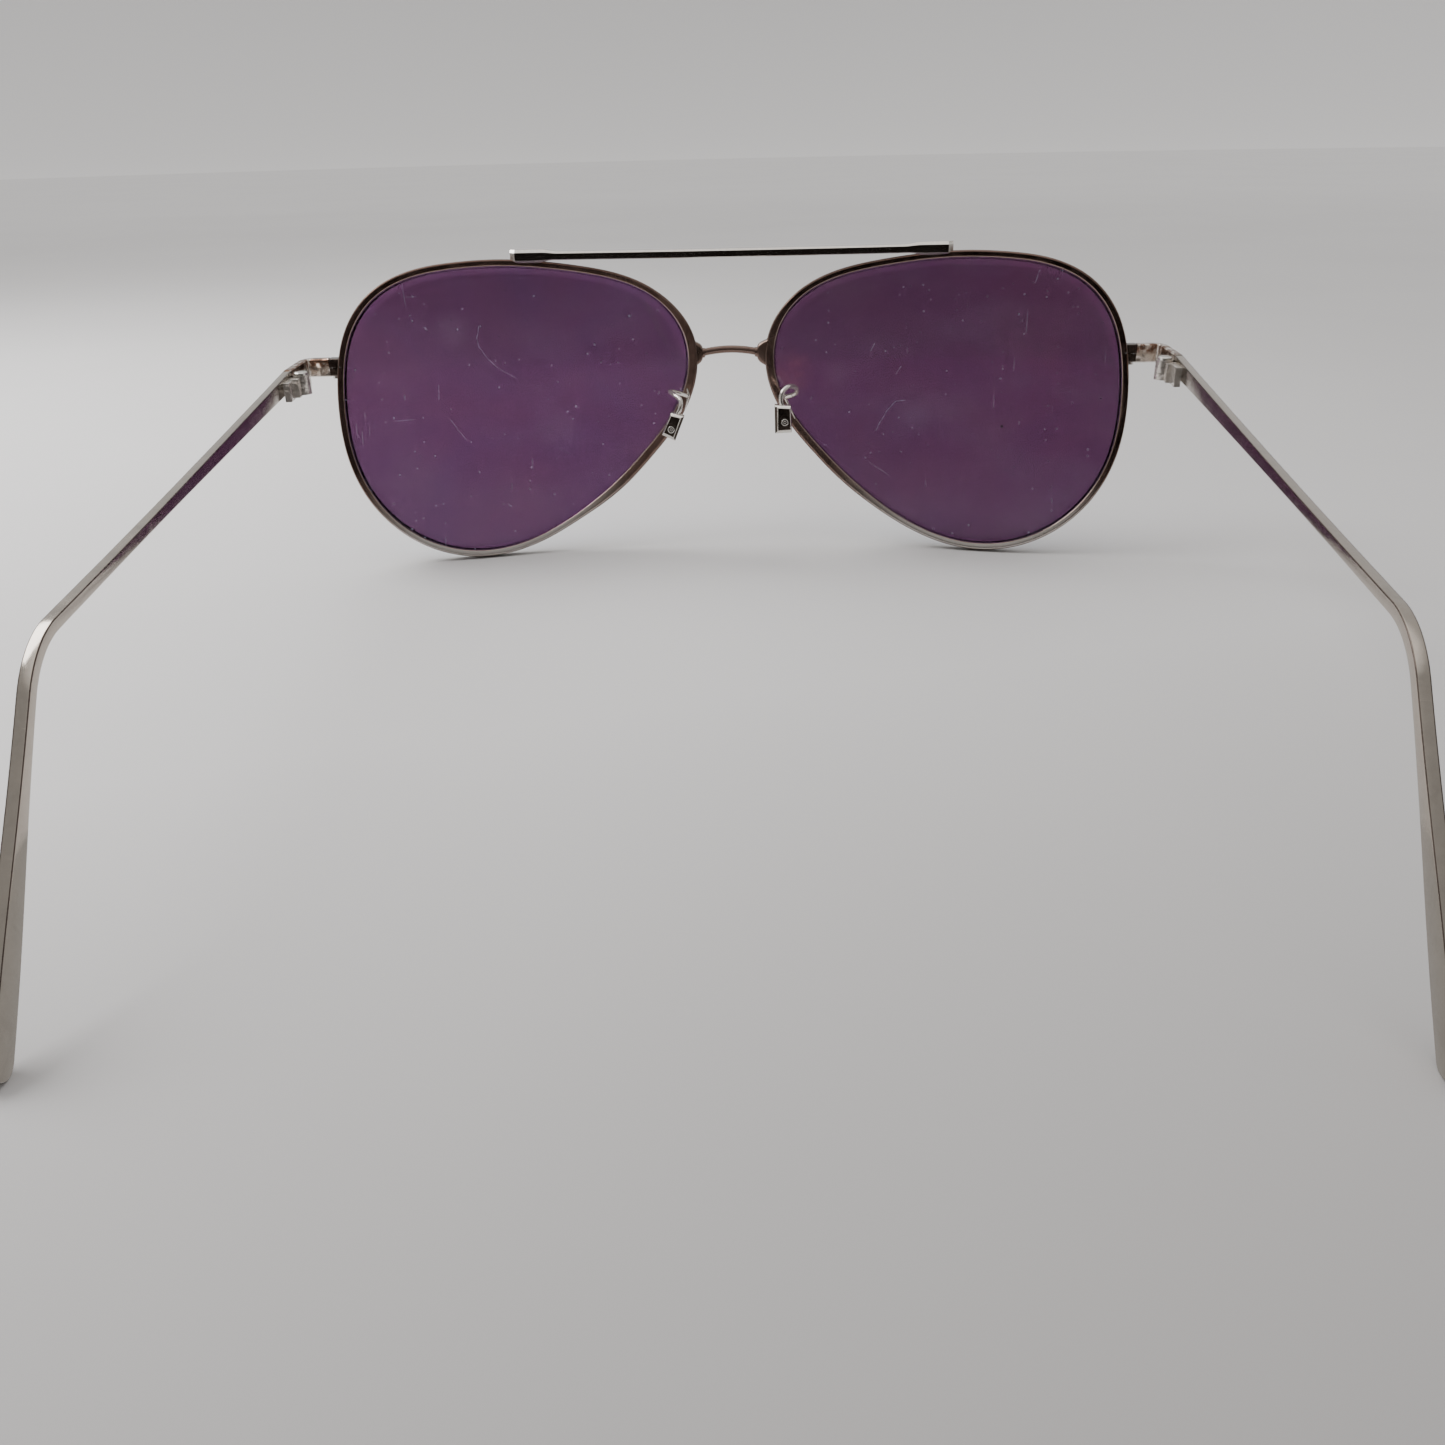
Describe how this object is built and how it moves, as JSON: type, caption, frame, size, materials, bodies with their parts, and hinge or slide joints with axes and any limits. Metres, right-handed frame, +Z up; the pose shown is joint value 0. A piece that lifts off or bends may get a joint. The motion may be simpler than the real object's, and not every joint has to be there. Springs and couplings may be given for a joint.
{
  "type": "aviator sunglasses",
  "caption": "Metal aviator sunglasses with tinted teardrop lenses, a straight brow bar, screwed folding temples and bare pad boxes for screw-on nose pads.",
  "frame": {"origin": "middle of the base of the bounding box of the open glasses standing on rims and temple tips", "axes": "+X towards the wearer's left, +Y from the lenses towards the temple tips, +Z up"},
  "size_m": [0.141, 0.141, 0.0491],
  "materials": {
    "frame_metal": "polished nickel silver, lightly worn, reflecting dark where it faces the wearer",
    "temple_metal": "polished nickel silver strip with drawn edges and fine handling scratches",
    "hinge_metal": "milled nickel silver, soft satin",
    "pad_metal": "bright polished nickel silver",
    "screw_metal": "bright turned steel",
    "lens": "dark purple tint seen from behind, pale blue flash mirror on the front, hairline scratches"
  },
  "bodies": {
    "front": {"rim_left": "frame_metal", "rim_right": "frame_metal", "lens_left": "lens", "lens_right": "lens", "bridge": "frame_metal", "bridge_lug_left": "frame_metal", "bridge_lug_right": "frame_metal", "brow_bar": "frame_metal", "rim_lock_upper_left": "frame_metal", "rim_lock_upper_right": "frame_metal", "rim_lock_lower_left": "frame_metal", "rim_lock_lower_right": "frame_metal", "rim_lock_screw_left": "screw_metal", "rim_lock_screw_right": "screw_metal", "end_piece_left": "frame_metal", "end_piece_right": "frame_metal", "hinge_front_leaf_left": "hinge_metal", "hinge_front_leaf_right": "hinge_metal", "hinge_screw_left": "screw_metal", "hinge_screw_right": "screw_metal", "pad_arm_left": "pad_metal", "pad_arm_right": "pad_metal", "pad_box_left": "pad_metal", "pad_box_right": "pad_metal", "pad_screw_left": "screw_metal", "pad_screw_right": "screw_metal"},
    "temple_left": {"temple_left": "temple_metal", "hinge_temple_leaf_left": "hinge_metal"},
    "temple_right": {"temple_right": "temple_metal", "hinge_temple_leaf_right": "hinge_metal"}
  },
  "joints": [
    {"name": "left_temple_fold", "type": "hinge", "parent": "front", "child": "temple_left", "pos_m": [0.0679, -0.05224, 0.03135], "axis": [0, 0, 1], "range_deg": [0, 85]},
    {"name": "right_temple_fold", "type": "hinge", "parent": "front", "child": "temple_right", "pos_m": [-0.0679, -0.05224, 0.03135], "axis": [0, 0, -1], "range_deg": [0, 81]}
  ]
}
